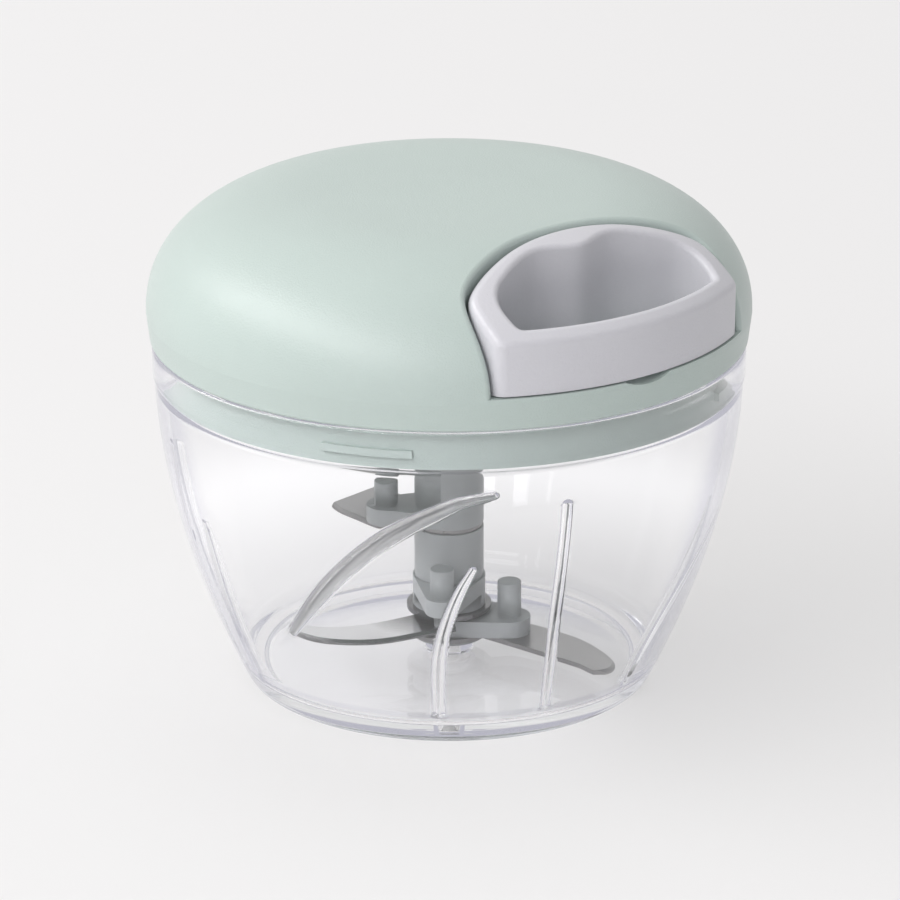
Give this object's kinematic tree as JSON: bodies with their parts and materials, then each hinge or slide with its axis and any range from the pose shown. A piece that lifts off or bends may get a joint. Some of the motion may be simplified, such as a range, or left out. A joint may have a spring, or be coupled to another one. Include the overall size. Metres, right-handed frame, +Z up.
{
  "type": "pull string food chopper",
  "caption": "Pull-string food chopper: clear bowl, domed lid with a flush pull handle and cord reel, and a lift-out tower with curved blades.",
  "frame": {"origin": "centre of the foot ring's underside, where the bowl stands on the table", "axes": "+Z up along the turning axis of bowl, lid and blades; the handle is pulled along -Y"},
  "size_m": [0.12, 0.12, 0.101],
  "materials": {
    "clear_bowl": "clear gloss",
    "mint_plastic": "fine spark-eroded grain",
    "handle_plastic": "satin",
    "tower_plastic": "satin",
    "white_plastic": "satin",
    "seal_rubber": "soft matt",
    "cord": "braided",
    "steel": "plain",
    "blade_steel": "polished with a ground edge",
    "polished_steel": "bright"
  },
  "bodies": {
    "bowl_body": {"bowl": "clear_bowl", "pivot_pin": "white_plastic"},
    "seal_body": {"lid_seal": "seal_rubber"},
    "lid_body": {"lid_base": "mint_plastic", "top_cover": "mint_plastic", "cover_screws": "steel", "mechanism_bridge": "white_plastic", "bridge_screws": "steel", "spring_arbor": "white_plastic", "mainspring": "steel", "cord_eyelet": "polished_steel", "shaft_bush": "white_plastic", "shaft_washer": "seal_rubber", "cord_run": "cord"},
    "handle_body": {"pull_handle": "handle_plastic", "cord_knot": "cord", "cord_lead": "cord"},
    "reel_body": {"cord_reel": "white_plastic", "reel_cap": "white_plastic", "pawl_pins": "polished_steel", "cord_winding": "cord"},
    "drive_body": {"ratchet_wheel": "white_plastic", "drive_shaft": "polished_steel", "shaft_clip": "steel"},
    "blade_body": {"tower_core": "tower_plastic", "drive_socket": "polished_steel", "pivot_bush": "white_plastic", "tower_nut": "tower_plastic", "lower_arm": "tower_plastic", "middle_arm": "tower_plastic", "tower_sleeve": "tower_plastic", "upper_arm": "tower_plastic", "lower_blade": "blade_steel", "middle_blade": "blade_steel", "upper_blade": "blade_steel"},
    "pawl_1_body": {"pawl_1": "white_plastic"},
    "pawl_2_body": {"pawl_2": "white_plastic"},
    "pawl_3_body": {"pawl_3": "white_plastic"}
  },
  "joints": [
    {"name": "lid_lift", "type": "slide", "parent": "bowl_body", "child": "seal_body", "axis": [0, 0, 1], "range_m": [0, 0.14]},
    {"name": "lid_twist", "type": "hinge", "parent": "seal_body", "child": "lid_body", "pos_m": [0, 0, 0.07], "axis": [0, 0, -1], "range_deg": [0, 22]},
    {"name": "handle_pull", "type": "slide", "parent": "lid_body", "child": "handle_body", "axis": [0, -1, 0], "range_m": [0, 0.3], "stiffness_N_per_m": 8, "springref_m": -0.15},
    {"name": "reel_turn", "type": "hinge", "parent": "lid_body", "child": "reel_body", "pos_m": [0, 0, 0.075], "axis": [0, 0, 1], "range_deg": [0, 788]},
    {"name": "drive_turn", "type": "hinge", "parent": "lid_body", "child": "drive_body", "pos_m": [0, 0, 0.065], "axis": [0, 0, 1], "range_deg": [0, 788]},
    {"name": "tower_lift", "type": "slide", "parent": "drive_body", "child": "blade_body", "axis": [0, 0, -1], "range_m": [0, 0.07]},
    {"name": "pawl_1_swing", "type": "hinge", "parent": "reel_body", "child": "pawl_1_body", "pos_m": [-0.01278, -0.01419, 0.069], "axis": [0, 0, -1], "range_deg": [0, 14]},
    {"name": "pawl_2_swing", "type": "hinge", "parent": "reel_body", "child": "pawl_2_body", "pos_m": [0.01868, -0.00397, 0.069], "axis": [0, 0, -1], "range_deg": [0, 14]},
    {"name": "pawl_3_swing", "type": "hinge", "parent": "reel_body", "child": "pawl_3_body", "pos_m": [-0.0059, 0.01817, 0.069], "axis": [0, 0, -1], "range_deg": [0, 14]}
  ],
  "couplings": [
    {"joint": "reel_turn", "follows": "handle_pull", "rad_per_m": 45.767},
    {"joint": "drive_turn", "follows": "handle_pull", "rad_per_m": 45.767},
    {"joint": "tower_lift", "follows": "lid_lift", "ratio": 0.5},
    {"joint": "pawl_2_swing", "follows": "pawl_1_swing", "ratio": 1},
    {"joint": "pawl_3_swing", "follows": "pawl_1_swing", "ratio": 1}
  ]
}
